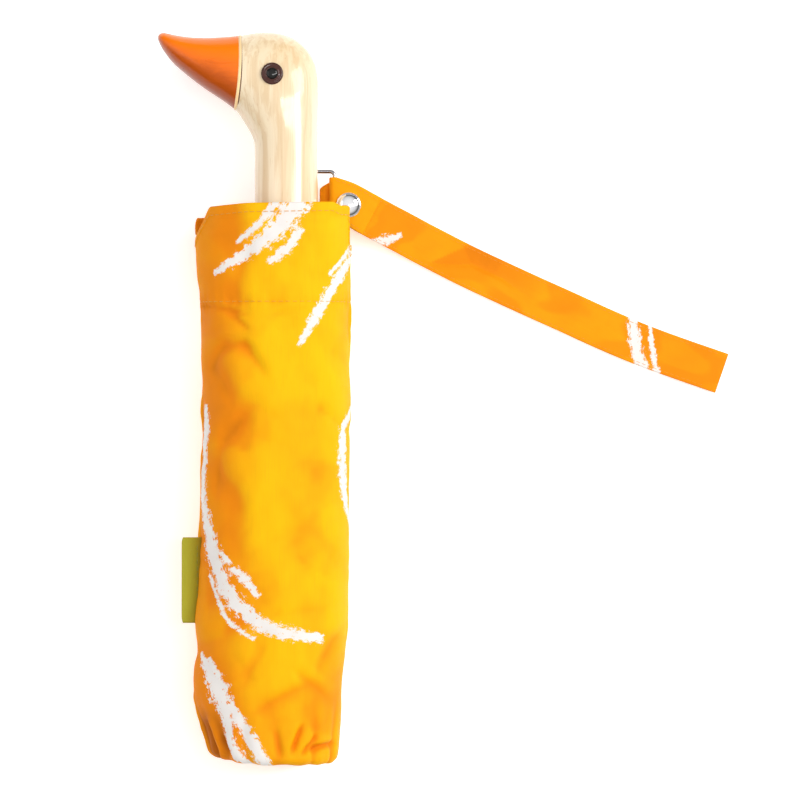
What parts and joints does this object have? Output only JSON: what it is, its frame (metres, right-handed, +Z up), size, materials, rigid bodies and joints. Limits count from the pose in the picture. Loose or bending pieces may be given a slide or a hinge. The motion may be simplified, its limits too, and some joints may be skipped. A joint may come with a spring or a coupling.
{
  "type": "folding umbrella",
  "caption": "Compact folding children's umbrella with a carved duck-head handle, closed in its slide-off fabric sleeve, with a wrist strap.",
  "frame": {"origin": "under the middle of the umbrella's outline without its wrist strap, on the surface it lies on", "axes": "+Z up, +Y along the shaft towards the head, +X the side that the wrist strap leaves on"},
  "size_m": [0.2256, 0.29, 0.046],
  "materials": {
    "birch": "satin varnish",
    "orange_lacquer": "glossy lacquer",
    "eye_brown": "glossy",
    "eye_black": "glossy",
    "black_plastic": "moulded",
    "plated_steel": "bright plated",
    "spring_steel": "satin",
    "chrome": "polished",
    "yellow_cloth": "woven polyester with a brushed white print",
    "canopy_cloth": "woven polyester with a brushed white print",
    "webbing": "woven",
    "label_green": "woven tape"
  },
  "bodies": {
    "handle": {"duck_head": "birch", "bill": "orange_lacquer", "eye_irises": "eye_brown", "eye_pupils": "eye_black", "handle_collar": "black_plastic", "lower_tube": "plated_steel", "ring_clip": "chrome", "clip_screws": "chrome"},
    "lower_catch": {"lower_catch": "spring_steel"},
    "middle_tube": {"middle_tube": "plated_steel"},
    "middle_catch": {"middle_catch": "spring_steel"},
    "frame": {"upper_tube": "plated_steel", "crown": "black_plastic", "crown_wire": "spring_steel", "runner": "black_plastic", "runner_wire": "spring_steel", "stretchers": "plated_steel", "top_ribs": "plated_steel", "middle_ribs": "plated_steel", "tail_ribs": "spring_steel", "link_wires": "spring_steel", "rib_rivets": "spring_steel", "rib_tips": "black_plastic", "canopy_roll": "canopy_cloth", "tie_band": "yellow_cloth", "tie_stud": "chrome", "canopy_washer": "black_plastic", "ferrule": "black_plastic"},
    "runner_catch": {"runner_catch": "spring_steel"},
    "sleeve": {"sleeve": "yellow_cloth", "side_label": "label_green"},
    "ring": {"strap_ring": "chrome"},
    "strap": {"wrist_strap": "webbing", "snap_stud": "chrome", "snap_post": "chrome"},
    "flap": {"strap_flap": "webbing", "snap_socket": "chrome", "snap_cap": "chrome"}
  },
  "joints": [
    {"name": "middle_tube_slide", "type": "slide", "parent": "handle", "child": "middle_tube", "axis": [0, -1, 0], "range_m": [0, 0.13]},
    {"name": "upper_tube_slide", "type": "slide", "parent": "middle_tube", "child": "frame", "axis": [0, -1, 0], "range_m": [0, 0.13]},
    {"name": "sleeve_slide", "type": "slide", "parent": "frame", "child": "sleeve", "axis": [0, -1, 0], "range_m": [0, 0.24]},
    {"name": "lower_catch_press", "type": "slide", "parent": "handle", "child": "lower_catch", "axis": [0, 0, -1], "range_m": [0, 0.0006], "stiffness_N_per_m": 800},
    {"name": "middle_catch_press", "type": "slide", "parent": "middle_tube", "child": "middle_catch", "axis": [0, 0, -1], "range_m": [0, 0.0006], "stiffness_N_per_m": 800},
    {"name": "runner_catch_press", "type": "slide", "parent": "frame", "child": "runner_catch", "axis": [0, 0, -1], "range_m": [0, 0.0015], "stiffness_N_per_m": 800},
    {"name": "ring_hinge", "type": "hinge", "parent": "handle", "child": "ring", "pos_m": [0.02176, 0.081, 0.01208], "axis": [0, -1, 0], "range_deg": [0, 15]},
    {"name": "strap_hinge", "type": "hinge", "parent": "ring", "child": "strap", "pos_m": [0.03156, 0.081, 0.01208], "axis": [0, -1, 0], "range_deg": [0, 30]},
    {"name": "flap_hinge", "type": "hinge", "parent": "strap", "child": "flap", "pos_m": [0.03156, 0.081, 0.01208], "axis": [0, -1, 0], "range_deg": [0, 35]}
  ]
}
